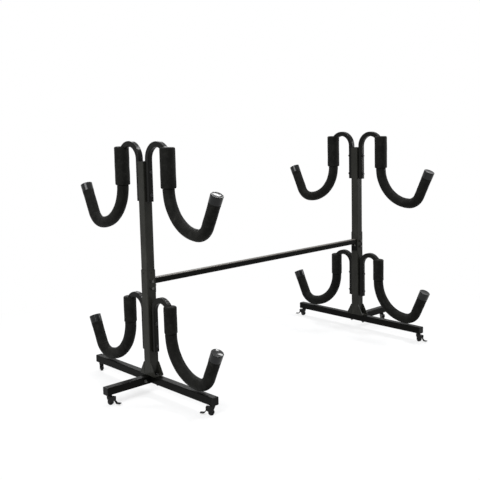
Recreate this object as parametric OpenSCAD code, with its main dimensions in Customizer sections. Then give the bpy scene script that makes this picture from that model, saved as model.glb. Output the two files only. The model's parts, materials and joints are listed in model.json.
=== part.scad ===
// Freestanding four-berth kayak rack in millimetres.
// +Z is up, X runs from one upright to the other and the front is -Y.
// The origin is on the floor, midway between the uprights.

/* [Base] */
// Distance between the centres of the two uprights
post_span = 1600; // [1200:10:2000]
// Front-to-back length of each base tube without its end caps
base_len = 944; // [760:2:1200]
// Distance from an upright's centre to the open end of its outward leg
outrigger_reach = 268; // [200:1:400]
// Side of the square base tubes and outward legs
base_side = 38; // [36:1:50]
// Wall of the base tubes and outward legs
base_wall = 2; // [1.5:0.1:2.5]
// Length of the stub that an outward leg slips over
stub_len = 70; // [50:1:100]
// Gap between a stub and the leg around it, each side
stub_clear = 0.5; // [0.3:0.1:0.8]
// Thickness of the visible head of a square end cap
cap_head = 3; // [2:0.5:5]
// Gap between a square end cap's legs and its tube, each side
cap_clear = 0.2; // [0.1:0.1:0.4]
// Depth that a square end cap reaches into its tube
cap_depth = 12; // [8:1:16]

/* [Uprights] */
// Side of the lower, outer upright
lower_post_side = 51; // [45:1:56]
// Wall of the lower upright
lower_post_wall = 1.5; // [1.4:0.1:2.5]
// Height of the lower upright's rim above the floor
lower_post_top = 610; // [590:1:700]
// Gap between the telescoping tubes, each side
slide_clear = 0.5; // [0.3:0.1:0.8]
// Wall of the upper upright
upper_post_wall = 1.6; // [1.2:0.1:2.5]
// Height of the upper upright's top above the floor
upper_post_top = 1132; // [1110:1:1140]
// Length of the upper upright that stands inside the lower one
insertion = 165; // [140:1:190]
// Distance of the open index holes below the rim
index_drop = 15; // [12:1:25]
// Diameter of the open index holes
index_d = 8; // [5:0.5:9]
// Outside corner radius of the frame tubes
frame_corner = 4; // [3:0.5:6]

/* [Upright foot] */
// Front-to-back length of the plate under an upright
foot_len = 120; // [110:1:160]
// Thickness of that plate
foot_t = 4; // [3:0.5:6]
// Height of the corner gussets
gusset_h = 60; // [40:1:90]
// Thickness of the corner gussets
gusset_t = 3; // [2:0.5:5]
// Distance of the foot bolts from the upright's centre
foot_bolt_y = 44; // [38:1:48]

/* [Crossbar] */
// Side of the square crossbar
crossbar_side = 25; // [20:1:30]
// Wall of the crossbar
crossbar_wall = 1.5; // [1.2:0.1:2]
// Height of the crossbar's centre above the floor
crossbar_z = 555; // [500:1:580]
// Width of the crossbar's end plates
end_plate_w = 40; // [36:1:42]
// Height of the crossbar's end plates
end_plate_h = 76; // [66:1:100]
// Thickness of the crossbar's end plates
end_plate_t = 4; // [3:0.5:6]
// Spacing of the two welded studs through an end plate
stud_pitch = 22; // [20:1:24]
// Diameter of the welded studs
stud_d = 6; // [5:0.5:7]

/* [Arms] */
// Side of the square arm tube
arm_side = 27; // [24:1:30]
// Wall of the arm tube
arm_wall = 2; // [1.5:0.1:3]
// Outside corner radius of the arm tube
arm_corner = 4; // [3:0.5:6]
// Length of the straight leg that is bolted to the upright
post_leg = 200; // [185:1:240]
// Gap between the lower cradles' foam and the base tubes
cradle_gap = 4.5; // [3:0.5:40]
// Height of the upper arms' arch centres above the floor
upper_arch_z = 1142.5; // [1115:0.5:1180]
// Centreline radius of the lower arms' arches
lower_arch_r = 63; // [50:1:74]
// Centreline radius of the upper arms' arches
upper_arch_r = 74; // [50:1:84]
// Straight part of the lower arms' inner legs below the arch
lower_inner_leg = 88; // [60:1:90]
// Straight part of the upper arms' inner legs below the arch
upper_inner_leg = 131; // [60:1:160]
// Centreline radius of the wide bend under a hull
cradle_r = 200; // [150:1:230]
// Centreline radius of the tight bend before the outer leg
heel_r = 80; // [60:1:110]
// Lean of the outer leg away from upright, in degrees
tip_lean = 25; // [10:1:35]
// Straight part of the lower arms' outer legs
lower_tip_len = 140; // [100:1:180]
// Straight part of the upper arms' outer legs
upper_tip_len = 155; // [100:1:180]
// Distance of the upper bolt of an arm below its arch centre
arm_bolt_top = 60; // [50:1:70]
// Spacing of an arm's two bolts
arm_bolt_pitch = 110; // [80:1:115]

/* [Foam sleeves] */
// Diameter of the foam around the cradle and outer leg
cradle_pad_d = 58; // [45:1:62]
// Diameter of the foam around the lower arms' inner legs
lower_leg_pad_d = 64; // [45:1:70]
// Diameter of the foam around the upper arms' inner legs
upper_leg_pad_d = 74; // [45:1:80]
// Height that the inner-leg foam reaches above the arch centre
leg_pad_rise = 45; // [20:1:45]

/* [Tip caps] */
// Wall of the cup-shaped cap over the foam's end
tip_cap_wall = 1.5; // [1:0.25:3]
// Depth of that cup
tip_cap_depth = 36; // [20:1:50]
// Thickness of its face
tip_cap_face = 5; // [4:0.5:8]

/* [Casters] */
// Height from the floor to the underside of the base tubes
caster_height = 50; // [48:1:60]
// Distance of the caster stems from the open tube ends
caster_inset = 18; // [14:1:40]
// Diameter of the wheels
wheel_d = 28; // [26:1:32]
// Width of the wheels
wheel_w = 14; // [10:1:18]
// Distance of the wheel's axle behind the swivel axis
trail = 6; // [5:0.5:12]
// Diameter of the axle
axle_d = 5; // [4:0.5:6]
// Radial running gap of the axle, lever pin and king pin
run_clear = 0.05; // [0.02:0.01:0.1]
// Diameter of the threaded stem
stem_d = 10; // [8:1:12]
// Diameter of the king pin
king_d = 8; // [6:1:10]
// Thickness of the fork's sheet
fork_t = 2; // [1.5:0.1:2.5]
// Distance of the lever pin behind the axle
lever_back = 19; // [18:0.5:22]
// Height of the lever pin above the axle
lever_up = 12; // [10:0.5:13]
// Diameter of the lever pin
lever_pin_d = 4; // [3:0.5:5]
// Gap between the brake shoe and the tread
shoe_gap = 0.4; // [0.3:0.1:1]
// Distance from the lever pin to the pedal's tip
pedal_reach = 34; // [28:1:42]
// Width of the pedal
pedal_w = 20; // [14:1:26]
// Radius of the pedal's outer corners
pedal_corner = 4; // [2:0.5:6]
// Height of the pressed pedal's underside above the floor
pedal_z = 9; // [6:0.5:12]

/* [Fasteners] */
// Diameter of the frame bolts and clamp screws
bolt_d = 8; // [6:0.5:9]
// Play of a bolt in its hole, on the diameter
hole_play = 0.6; // [0.4:0.1:1]
// Height of the upper clamp screw below the lower upright's rim
clamp_drop = 55; // [45:1:60]
// Spacing of the two clamp screws
clamp_pitch = 34; // [24:1:38]

/* [Hidden] */
$fn = 48;
BEND_FN = 96;
EPS = 0.01;
LOWER = 0;
UPPER = 1;
LEVEL_NAMES = ["lower", "upper"];
SIDES = [-1, 1];
ENDS = [-1, 1];
CASTERS = ["front_left", "back_left", "side_left", "front_right", "back_right", "side_right"];
// Direction in which each caster trails, in degrees from +X
caster_turn = [125, 60, -62, -90, 110, -118];

function side_name(side) = side < 0 ? "left" : "right";
function end_name(end) = end < 0 ? "front" : "back";
function arm_name(level, side, end) = str(LEVEL_NAMES[level], "_", side_name(side), "_", end_name(end));

base_top = caster_height + base_side;
base_mid = caster_height + base_side / 2;
base_inner = base_side - 2 * base_wall;
stub_side = base_inner - 2 * stub_clear;

// One entry for the lower level and one for the upper level
lower_arch_z = base_top + cradle_gap + cradle_pad_d / 2 + cradle_r + lower_inner_leg;
upper_post_side = lower_post_side - 2 * lower_post_wall - 2 * slide_clear;
post_side = [lower_post_side, upper_post_side];
arch_z = [lower_arch_z, upper_arch_z];
arch_r = [lower_arch_r, upper_arch_r];
inner_leg = [lower_inner_leg, upper_inner_leg];
tip_len = [lower_tip_len, upper_tip_len];
leg_pad_d = [lower_leg_pad_d, upper_leg_pad_d];
turn = 90 - tip_lean;

foot_top = base_top + foot_t;
upper_post_bottom = lower_post_top - insertion;
upper_post_len = upper_post_top - upper_post_bottom;
bolt_hole = bolt_d + hole_play;
hex_af = bolt_d * 1.625;
head_h = bolt_d * 0.66;
nut_h = bolt_d * 0.8;
washer_d = bolt_d * 2;
washer_t = bolt_d * 0.2;
bolt_end = bolt_d * 0.4;
stub_bolt_x = base_side / 2 + stub_len / 2;
stud_z = crossbar_z - crossbar_side / 2 - hex_af / 2 - stud_d;
end_plate_top = crossbar_z + crossbar_side / 2 + end_plate_t;
stud_len = end_plate_t + stud_d * 0.8 + 3;

// Caster heights from the floor upwards
wheel_r = wheel_d / 2;
stem_flange = 5;
cup_h = 4;
cup_d = 26;
race_gap = 0.4;
fork_top = caster_height - stem_flange - cup_h - race_gap;
fork_plate_t = fork_t + 0.5;
king_head_h = 1.6;
king_head_d = king_d * 1.5;
stem_len = 22;
stem_nut_af = stem_d * 1.7;
cheek_gap = 0.8;
cheek_y = wheel_w / 2 + cheek_gap;
axle_boss = 7.5;
pin_boss = 5;
lever_x = trail + lever_back;
lever_z = wheel_r + lever_up;
lever_barrel = lever_pin_d * 2;
rivet_h = 1.2;
nut_room = 1;
cap_leg_gap = stem_nut_af / cos(30) + 2 * nut_room;

caster_y = base_len / 2 - caster_inset;
caster_x = post_span / 2 + outrigger_reach - caster_inset;
caster_at = [
    [-post_span / 2, -caster_y],
    [-post_span / 2, caster_y],
    [-caster_x, 0],
    [post_span / 2, -caster_y],
    [post_span / 2, caster_y],
    [caster_x, 0]
];

// ---------- Profiles and shared shapes ----------

module rounded_square(side, r) {
    square([side - 2 * r, side], center = true);
    square([side, side - 2 * r], center = true);
    for (x = [-1, 1], y = [-1, 1])
        translate([x * (side / 2 - r), y * (side / 2 - r)]) circle(r);
}

module tube_section(side, wall, r) {
    difference() {
        rounded_square(side, r);
        rounded_square(side - 2 * wall, max(r - wall, wall / 2));
    }
}

module upright_tube(side, wall, len) {
    linear_extrude(len) tube_section(side, wall, frame_corner);
}

// A tube from the origin along +X
module x_tube(side, wall, len) {
    rotate([90, 0, 90]) linear_extrude(len) tube_section(side, wall, frame_corner);
}

// A tube along Y, centred on the origin
module y_tube(side, wall, len) {
    translate([0, len / 2, 0]) rotate([90, 0, 0]) linear_extrude(len) tube_section(side, wall, frame_corner);
}

// A square cap pushed into the end of a tube; its outer face looks along +Z, and it
// holds by four corner legs that leave room for a caster's nut between them
module square_cap(side, wall) {
    inner = side - 2 * wall - 2 * cap_clear;
    linear_extrude(cap_head) rounded_square(side, frame_corner);
    translate([0, 0, -cap_depth]) linear_extrude(cap_depth + EPS) difference() {
        rounded_square(inner, max(frame_corner - wall, wall / 2));
        rounded_square(inner - 2 * wall, wall / 2);
        square([cap_leg_gap, side], center = true);
        square([side, cap_leg_gap], center = true);
    }
}

module hexagon(af, h) {
    cylinder(d = af / cos(30), h = h, $fn = 6);
}

// A bolt with two washers and a nut, clamping grip along +Z from the origin
module hex_bolt(grip) {
    translate([0, 0, -washer_t - head_h]) hexagon(hex_af, head_h);
    translate([0, 0, -washer_t - EPS]) cylinder(d = bolt_d, h = grip + 2 * washer_t + nut_h + bolt_end);
    for (z = [-washer_t, grip]) translate([0, 0, z]) difference() {
        cylinder(d = washer_d, h = washer_t);
        translate([0, 0, -1]) cylinder(d = bolt_d, h = washer_t + 2);
    }
    translate([0, 0, grip + washer_t]) difference() {
        hexagon(hex_af, nut_h);
        translate([0, 0, -1]) cylinder(d = bolt_d, h = nut_h + 2);
    }
}

// ---------- Base ----------

module base_tube(side) {
    color("black") translate([side * post_span / 2, 0, base_mid]) {
        difference() {
            y_tube(base_side, base_wall, base_len);
            for (end = ENDS) translate([0, end * caster_y, -base_side / 2 - 1])
                cylinder(d = stem_d + hole_play, h = base_wall + 2);
            for (end = ENDS) translate([0, end * foot_bolt_y, -base_side])
                cylinder(d = bolt_hole, h = 2 * base_side);
        }
        difference() {
            mirror([side < 0 ? 1 : 0, 0, 0]) translate([base_side / 2, 0, 0])
                x_tube(stub_side, base_wall, stub_len);
            translate([side * stub_bolt_x, base_side, 0]) rotate([90, 0, 0])
                cylinder(d = bolt_hole, h = 2 * base_side);
        }
    }
}

module outrigger(side) {
    start = base_side / 2;
    color("black") translate([side * post_span / 2, 0, base_mid]) difference() {
        mirror([side < 0 ? 1 : 0, 0, 0]) translate([start, 0, 0])
            x_tube(base_side, base_wall, outrigger_reach - start);
        translate([side * stub_bolt_x, base_side, 0]) rotate([90, 0, 0])
            cylinder(d = bolt_hole, h = 2 * base_side);
        translate([side * (outrigger_reach - caster_inset), 0, -base_side / 2 - 1])
            cylinder(d = stem_d + hole_play, h = base_wall + 2);
    }
}

module base_end_caps() {
    color("black") for (side = SIDES) {
        for (end = ENDS) translate([side * post_span / 2, end * base_len / 2, base_mid])
            rotate([-end * 90, 0, 0]) square_cap(base_side, base_wall);
        translate([side * (post_span / 2 + outrigger_reach), 0, base_mid])
            rotate([0, side * 90, 0]) square_cap(base_side, base_wall);
    }
}

// ---------- Uprights ----------

// Triangular web between the upright and its foot plate
module gusset() {
    run = (foot_len - lower_post_side) / 2;
    toe = gusset_t;
    rotate([90, 0, 90]) translate([0, 0, -gusset_t / 2]) linear_extrude(gusset_t)
        polygon([[0, 0], [run, 0], [run, toe], [toe, gusset_h], [0, gusset_h]]);
}

module lower_post(side) {
    len = lower_post_top - foot_top;
    gusset_x = (lower_post_side - gusset_t) / 2;
    plate_x = lower_post_side;
    color("black") translate([side * post_span / 2, 0, 0]) difference() {
        union() {
            translate([0, 0, foot_top]) upright_tube(lower_post_side, lower_post_wall, len);
            translate([-plate_x / 2, -foot_len / 2, base_top]) cube([plate_x, foot_len, foot_t]);
            for (end = ENDS, x = [-gusset_x, gusset_x])
                mirror([0, end < 0 ? 1 : 0, 0]) translate([x, lower_post_side / 2, foot_top]) gusset();
        }
        for (end = ENDS) translate([0, end * foot_bolt_y, base_top - 1])
            cylinder(d = bolt_hole, h = foot_t + 2);
        // Index holes right through both pairs of walls
        translate([0, 0, lower_post_top - index_drop]) {
            rotate([90, 0, 0]) cylinder(d = index_d, h = 2 * lower_post_side, center = true);
            rotate([0, 90, 0]) cylinder(d = index_d, h = 2 * lower_post_side, center = true);
        }
        // Clamp screws come through the front wall only
        for (k = [0, 1]) translate([0, 0, lower_post_top - clamp_drop - k * clamp_pitch])
            rotate([90, 0, 0]) cylinder(d = bolt_hole, h = lower_post_side);
        arm_bolt_holes(LOWER);
    }
}

module upper_post(side) {
    color("black") translate([side * post_span / 2, 0, 0]) difference() {
        translate([0, 0, upper_post_bottom]) upright_tube(upper_post_side, upper_post_wall, upper_post_len);
        arm_bolt_holes(UPPER);
    }
}

module arm_bolt_holes(level) {
    for (k = [0, 1]) translate([0, 0, arch_z[level] - arm_bolt_top - k * arm_bolt_pitch])
        rotate([90, 0, 0]) cylinder(d = bolt_hole, h = 2 * lower_post_side, center = true);
}

module post_cap(side) {
    color("black") translate([side * post_span / 2, 0, upper_post_top])
        square_cap(upper_post_side, upper_post_wall);
}

// ---------- Crossbar ----------

module crossbar() {
    len = post_span - lower_post_side;
    color("black") difference() {
        union() {
            translate([-len / 2, 0, crossbar_z]) x_tube(crossbar_side, crossbar_wall, len);
            for (side = SIDES) translate([side * (len - end_plate_t) / 2, 0, end_plate_top - end_plate_h / 2])
                cube([end_plate_t, end_plate_w, end_plate_h], center = true);
        }
        for (side = SIDES, y = [-1, 1]) translate([side * len / 2, y * stud_pitch / 2, stud_z])
            rotate([0, 90, 0]) cylinder(d = stud_d + hole_play, h = 4 * end_plate_t, center = true);
    }
}

// ---------- Fasteners ----------

module stud_and_nut() {
    cylinder(d = stud_d, h = stud_len);
    translate([0, 0, end_plate_t]) difference() {
        hexagon(stud_d * 1.67, stud_d * 0.8);
        translate([0, 0, -1]) cylinder(d = stud_d, h = stud_d + 2);
    }
}

module frame_bolts() {
    color("silver") for (side = SIDES) translate([side * post_span / 2, 0, 0]) {
        for (end = ENDS) translate([0, end * foot_bolt_y, foot_top])
            mirror([0, 0, 1]) hex_bolt(foot_t + base_side);
        translate([side * stub_bolt_x, -base_side / 2, base_mid]) rotate([-90, 0, 0]) hex_bolt(base_side);
        for (y = [-1, 1]) translate([-side * lower_post_side / 2, y * stud_pitch / 2, stud_z])
            rotate([0, -side * 90, 0]) stud_and_nut();
    }
}

// Screws in nuts welded to the front wall; their tips press on the sliding upright
module clamp_screws() {
    tip_gap = 0.05;
    reach = nut_h + lower_post_wall + slide_clear - tip_gap;
    color("silver") for (side = SIDES, k = [0, 1])
        translate([side * post_span / 2, -lower_post_side / 2, lower_post_top - clamp_drop - k * clamp_pitch])
            rotate([90, 0, 0]) {
                difference() {
                    hexagon(hex_af, nut_h);
                    translate([0, 0, -1]) cylinder(d = bolt_d, h = nut_h + 2);
                }
                translate([0, 0, nut_h]) hexagon(hex_af, head_h);
                translate([0, 0, nut_h - reach]) cylinder(d = bolt_d, h = reach + EPS);
            }
}

module arm_bolts(level, side) {
    grip = post_side[level] + 2 * arm_side;
    color("silver") for (k = [0, 1])
        translate([side * post_span / 2, -grip / 2, arch_z[level] - arm_bolt_top - k * arm_bolt_pitch])
            rotate([-90, 0, 0]) hex_bolt(grip);
}

// ---------- Arms ----------
// An arm is drawn flat: local X points away from the upright, local Y up, and the
// origin is on the bolted leg's axis at the height of the arch centre.

module place_arm(level, side, end) {
    translate([side * post_span / 2, end * (post_side[level] + arm_side) / 2, arch_z[level]])
        rotate([90, 0, end * 90]) children();
}

// Bolted leg, arch and straight inner leg, with the child as their section
module arch_sweep(level) {
    translate([0, -post_leg, 0]) rotate([-90, 0, 0]) linear_extrude(post_leg) children();
    translate([arch_r[level], 0, 0]) rotate_extrude(angle = 180, $fn = BEND_FN)
        translate([arch_r[level], 0]) children();
    translate([2 * arch_r[level], -inner_leg[level], 0]) rotate([-90, 0, 0])
        linear_extrude(inner_leg[level]) children();
}

// Frame at the start of the straight outer leg, with local X along the leg
module at_outer_leg(level) {
    translate([
        2 * arch_r[level] + cradle_r + heel_r * sin(turn),
        -inner_leg[level] - cradle_r + heel_r * (1 - cos(turn)),
        0
    ]) rotate([0, 0, turn]) children();
}

// Wide bend, tight bend and outer leg, with the child as their section. The leg laps into
// the bend by lap, or only meets it where that is zero.
module cradle_sweep(level, leg_len, lap) {
    translate([2 * arch_r[level] + cradle_r, -inner_leg[level], 0]) rotate([0, 0, 180])
        rotate_extrude(angle = 90, $fn = BEND_FN) translate([cradle_r, 0]) children();
    translate([2 * arch_r[level] + cradle_r, -inner_leg[level] - cradle_r + heel_r, 0]) rotate([0, 0, 270])
        rotate_extrude(angle = turn, $fn = BEND_FN) translate([heel_r, 0]) children();
    translate([2 * arch_r[level] + cradle_r, -inner_leg[level] - cradle_r + heel_r, 0])
        rotate([0, 0, 270 + turn]) translate([heel_r, -lap, 0]) rotate([-90, 0, 0])
            linear_extrude(leg_len + lap) children();
}

module arm(level, side, end) {
    color([0.07, 0.07, 0.08]) place_arm(level, side, end) difference() {
        union() {
            arch_sweep(level) tube_section(arm_side, arm_wall, arm_corner);
            cradle_sweep(level, tip_len[level], EPS) tube_section(arm_side, arm_wall, arm_corner);
        }
        for (k = [0, 1]) translate([0, -arm_bolt_top - k * arm_bolt_pitch, 0])
            rotate([0, 90, 0]) cylinder(d = bolt_hole, h = 2 * arm_side, center = true);
    }
}

// Foam in two lengths, one around the cradle and one around the outer leg
module cradle_pad(level, side, end) {
    color([0.14, 0.14, 0.14]) place_arm(level, side, end) cradle_sweep(level, tip_len[level], 0)
        difference() {
            circle(d = cradle_pad_d);
            rounded_square(arm_side, arm_corner);
        }
}

// A straight foam sleeve, pushed up until the arch comes out of its top
module leg_pad(level, side, end) {
    color([0.14, 0.14, 0.14]) place_arm(level, side, end) difference() {
        translate([2 * arch_r[level], -inner_leg[level], 0]) rotate([-90, 0, 0])
            cylinder(d = leg_pad_d[level], h = inner_leg[level] + leg_pad_rise);
        arch_sweep(level) rounded_square(arm_side, arm_corner);
    }
}

module tip_cap(level, side, end) {
    r = cradle_pad_d / 2;
    rim = r + tip_cap_wall;
    edge = tip_cap_face * 0.6;
    dish = tip_cap_face * 0.5;
    dish_r = rim - edge - 1;
    color([0.05, 0.05, 0.05]) place_arm(level, side, end) at_outer_leg(level)
        translate([tip_len[level], 0, 0]) rotate([0, 90, 0]) rotate_extrude() {
            difference() {
                union() {
                    square([rim - edge, tip_cap_face]);
                    square([rim, tip_cap_face - edge]);
                    translate([rim - edge, tip_cap_face - edge]) circle(edge);
                    translate([r, -tip_cap_depth]) square([tip_cap_wall, tip_cap_depth + EPS]);
                }
                translate([0, -tip_cap_depth - 1]) square([r, tip_cap_depth + 1]);
                translate([0, tip_cap_face - dish])
                    polygon([[-1, 0], [dish_r - dish, 0], [dish_r + 1, dish + 1], [-1, dish + 1]]);
                translate([-2 * rim, -2 * rim]) square([2 * rim, 4 * rim]);
            }
        }
}

// Square plug in the lower end of the bolted leg
module leg_plug(level, side, end) {
    color([0.05, 0.05, 0.05]) place_arm(level, side, end) translate([0, -post_leg, 0]) rotate([90, 0, 0]) {
        linear_extrude(cap_head) rounded_square(arm_side, arm_corner);
        translate([0, 0, -cap_depth]) linear_extrude(cap_depth + EPS)
            rounded_square(arm_side - 2 * arm_wall - 2 * cap_clear, arm_corner - arm_wall);
    }
}

module tip_caps(level, side) {
    for (end = ENDS) {
        tip_cap(level, side, end);
        leg_plug(level, side, end);
    }
}

// ---------- Casters ----------
// A caster is drawn with its swivel axis on Z, the floor at zero and its wheel
// trailing along +X.

module place_caster(i) {
    translate([caster_at[i][0], caster_at[i][1], 0]) rotate([0, 0, caster_turn[i]]) children();
}

// Threaded stem with its flange, bearing cup and king pin, and the nut inside the tube
module caster_stem() {
    rotate_extrude() {
        translate([0, fork_top + race_gap]) square([cup_d / 2, cup_h]);
        translate([0, fork_top + race_gap + cup_h - EPS]) square([stem_d * 0.75, stem_flange + EPS]);
        translate([0, caster_height - EPS]) square([stem_d / 2, stem_len]);
        translate([0, fork_top - fork_plate_t - race_gap - king_head_h])
            square([king_head_d / 2, king_head_h]);
        translate([0, fork_top - fork_plate_t - race_gap - EPS])
            square([king_d / 2, fork_plate_t + 2 * race_gap + 2 * EPS]);
    }
    translate([0, 0, caster_height + base_wall]) difference() {
        hexagon(stem_nut_af, stem_d * 0.8);
        translate([0, 0, -1]) cylinder(d = stem_d, h = stem_d + 2);
    }
}

module caster_stems() {
    color("dimgray") for (i = [0 : len(CASTERS) - 1]) place_caster(i) caster_stem();
}

module rivet(d, half_len) {
    rotate([90, 0, 0]) cylinder(d = d, h = 2 * half_len, center = true);
    for (y = [-1, 1]) translate([0, y * (half_len + rivet_h / 2 - EPS), 0])
        rotate([90, 0, 0]) cylinder(d = d * 1.6, h = rivet_h, center = true);
}

module fork(i) {
    nose = -9;
    back = lever_x + pin_boss;
    cheek_out = cheek_y + fork_t;
    color("dimgray") place_caster(i) {
        difference() {
            union() {
                translate([0, 0, fork_top - fork_plate_t]) cylinder(d = cup_d - 2, h = fork_plate_t);
                translate([nose, -cheek_out, fork_top - fork_plate_t])
                    cube([back - nose, 2 * cheek_out, fork_plate_t]);
            }
            translate([0, 0, fork_top - 2 * fork_plate_t])
                cylinder(r = king_d / 2 + run_clear, h = 3 * fork_plate_t);
        }
        for (y = [-1, 1]) translate([0, y * (cheek_y + fork_t / 2) + fork_t / 2, 0])
            rotate([90, 0, 0]) linear_extrude(fork_t) {
                polygon([
                    [nose, fork_top - EPS],
                    [nose, fork_top - 2 * fork_plate_t],
                    [trail - axle_boss, wheel_r],
                    [trail + axle_boss, wheel_r],
                    [back, lever_z],
                    [back, fork_top - EPS]
                ]);
                translate([trail, wheel_r]) circle(axle_boss);
                translate([lever_x, lever_z]) circle(pin_boss);
            }
        translate([trail, 0, wheel_r]) rivet(axle_d, cheek_out);
        translate([lever_x, 0, lever_z]) rivet(lever_pin_d, cheek_out);
    }
}

// Tread with a flat crown, a recessed web and a raised hub
module wheel(i) {
    half = wheel_w / 2;
    bore = axle_d / 2 + run_clear;
    hub = axle_d * 1.1;
    web = wheel_r * 0.7;
    shoulder = 1.5;
    recess = 1.2;
    hub_half = half + cheek_gap / 2;
    side_profile = [
        [bore, hub_half], [hub, hub_half], [hub, half - recess], [web, half - recess],
        [web + recess, half], [wheel_r - shoulder, half], [wheel_r, half - shoulder]
    ];
    outline = concat(side_profile, [for (k = [len(side_profile) - 1 : -1 : 0])
        [side_profile[k][0], -side_profile[k][1]]]);
    color([0.1, 0.1, 0.1]) place_caster(i) translate([trail, 0, wheel_r]) rotate([90, 0, 0])
        rotate_extrude() polygon(outline);
}

// Pedal lever on its pin, drawn pressed down with the shoe against the tread
module brake(i) {
    lever_w = wheel_w + cheek_gap;
    shoe_reach = norm([lever_back, lever_up]) - wheel_r - shoe_gap;
    shoe_angle = atan2(-lever_up, -lever_back);
    sheet = 2.4;
    pad_z = pedal_z - lever_z;
    pad_start = pedal_reach * 0.42;
    color([0.12, 0.12, 0.12]) place_caster(i) translate([lever_x, 0, lever_z]) {
        difference() {
            union() {
                rotate([90, 0, 0]) cylinder(d = lever_barrel, h = lever_w, center = true);
                rotate([90, 0, 0]) linear_extrude(lever_w * 0.7, center = true) {
                    rotate(shoe_angle) translate([0, -sheet / 2]) square([shoe_reach, sheet]);
                    polygon([
                        [0, lever_barrel / 2], [-1, 0], [pad_start - sheet, pad_z],
                        [pad_start + sheet, pad_z], [pad_start + sheet, pad_z + sheet]
                    ]);
                }
            }
            rotate([90, 0, 0]) cylinder(r = lever_pin_d / 2 + run_clear, h = 2 * lever_w, center = true);
        }
        translate([0, 0, pad_z]) linear_extrude(sheet) {
            translate([pad_start, -pedal_w / 2])
                square([pedal_reach - pad_start - pedal_corner, pedal_w]);
            translate([pad_start, pedal_corner - pedal_w / 2])
                square([pedal_reach - pad_start, pedal_w - 2 * pedal_corner]);
            for (y = [-1, 1]) translate([pedal_reach - pedal_corner, y * (pedal_w / 2 - pedal_corner)])
                circle(pedal_corner);
        }
    }
}

// ---------- Nodes ----------

for (side = SIDES) {
    base_tube(side);
    outrigger(side);
    lower_post(side);
    upper_post(side);
    post_cap(side);
    for (end = ENDS) leg_pad(UPPER, side, end);
    tip_caps(UPPER, side);
    arm_bolts(UPPER, side);
    for (end = ENDS) leg_pad(LOWER, side, end);  // lower_leg_pads
    tip_caps(LOWER, side);  // lower_tip_caps
    arm_bolts(LOWER, side);  // lower_arm_bolts
    for (level = [LOWER, UPPER], end = ENDS) {
        arm(level, side, end);
        cradle_pad(level, side, end);
    }
}
crossbar();
base_end_caps();
frame_bolts();
clamp_screws();
caster_stems();
for (i = [0 : len(CASTERS) - 1]) {
    fork(i);
    wheel(i);
    brake(i);
}
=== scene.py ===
"""Looks of the freestanding kayak rack: finishes, foam sleeves, fasteners, welds, light and camera."""
import json
import math

import bmesh
import bpy
from mathutils import Matrix, Vector, noise


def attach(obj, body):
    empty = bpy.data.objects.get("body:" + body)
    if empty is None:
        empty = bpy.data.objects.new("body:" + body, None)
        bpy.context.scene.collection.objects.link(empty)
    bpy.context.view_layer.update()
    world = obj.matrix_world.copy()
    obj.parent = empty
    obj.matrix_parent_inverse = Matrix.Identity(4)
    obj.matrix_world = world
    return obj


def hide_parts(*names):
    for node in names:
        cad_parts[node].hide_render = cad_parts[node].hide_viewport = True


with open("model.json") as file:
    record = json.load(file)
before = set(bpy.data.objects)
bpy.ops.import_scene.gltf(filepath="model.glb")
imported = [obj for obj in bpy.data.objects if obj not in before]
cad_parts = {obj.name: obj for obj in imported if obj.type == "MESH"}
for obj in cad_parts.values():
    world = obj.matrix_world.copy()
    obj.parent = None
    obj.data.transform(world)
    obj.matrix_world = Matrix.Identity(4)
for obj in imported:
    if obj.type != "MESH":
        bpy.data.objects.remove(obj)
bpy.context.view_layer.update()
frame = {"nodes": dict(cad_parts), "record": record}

NODES = frame["nodes"]
SCENE = bpy.context.scene

# ---------- Sizes in metres, the same as in the part unless a comment says so ----------
SPAN_X = 0.8
ARM_SIDE, ARM_CORNER = 0.027, 0.004
POST_SIDE = {"lower": 0.051, "upper": 0.047}
ARCH_Z = {"lower": 0.4095, "upper": 1.1425}
ARCH_R = {"lower": 0.063, "upper": 0.074}
INNER_LEG = {"lower": 0.088, "upper": 0.131}
LEG_PAD_D = {"lower": 0.064, "upper": 0.074}
# How far each straight sleeve reaches up along its arch; the solid has the lower value at both levels
LEG_PAD_RISE = {"lower": 0.045, "upper": 0.060}
CRADLE_R, HEEL_R, LEAN = 0.200, 0.080, math.radians(25)
TIP_LEN = {"lower": 0.140, "upper": 0.155}
PAD_D = 0.058
CAP_DEPTH, CAP_WALL, CAP_FACE = 0.036, 0.0015, 0.005
BOLT_TOP, BOLT_PITCH = 0.060, 0.110
BOLT_D = 0.008
HEX_AF, HEAD_H, NUT_H = BOLT_D * 1.625, BOLT_D * 0.66, BOLT_D * 0.8
WASHER_D, WASHER_T, BOLT_END = BOLT_D * 2, BOLT_D * 0.2, BOLT_D * 0.4
NUT_BORE, THREAD_PITCH = BOLT_D * 0.46, 0.00125
FOOT_TOP, FOOT_T, BASE_SIDE, BASE_MID = 0.092, 0.004, 0.038, 0.069
FOOT_BOLT_OUT, LEG_BOLT_OUT, GUSSET_T = 0.044, 0.054, 0.003
STUD_D, STUD_PITCH, STUD_END, STUD_THREAD = 0.006, 0.022, 0.003, 0.001
STUD_AF, STUD_NUT_H, STUD_BORE = STUD_D * 1.67, STUD_D * 0.8, STUD_D * 0.45
END_PLATE_T, END_PLATE_TOP, END_PLATE_H, END_PLATE_W = 0.004, 0.5715, 0.076, 0.040
CROSSBAR_Z, CROSSBAR_SIDE = 0.555, 0.025
# The bar's side as the photograph shows it; its top face stays where the solid has it
BAR_SHOWN, BAR_CORNER = 0.030, 0.005
BAR_TOP = CROSSBAR_Z + CROSSBAR_SIDE / 2
POST_FACE = SPAN_X - POST_SIDE["lower"] / 2
POST_TOP, CLAMP_DROP, CLAMP_PITCH = 0.610, 0.055, 0.034
SIDES = (("left", -1), ("right", 1))
ENDS = (("front", -1), ("back", 1))
LEVELS = ("lower", "upper")


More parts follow.
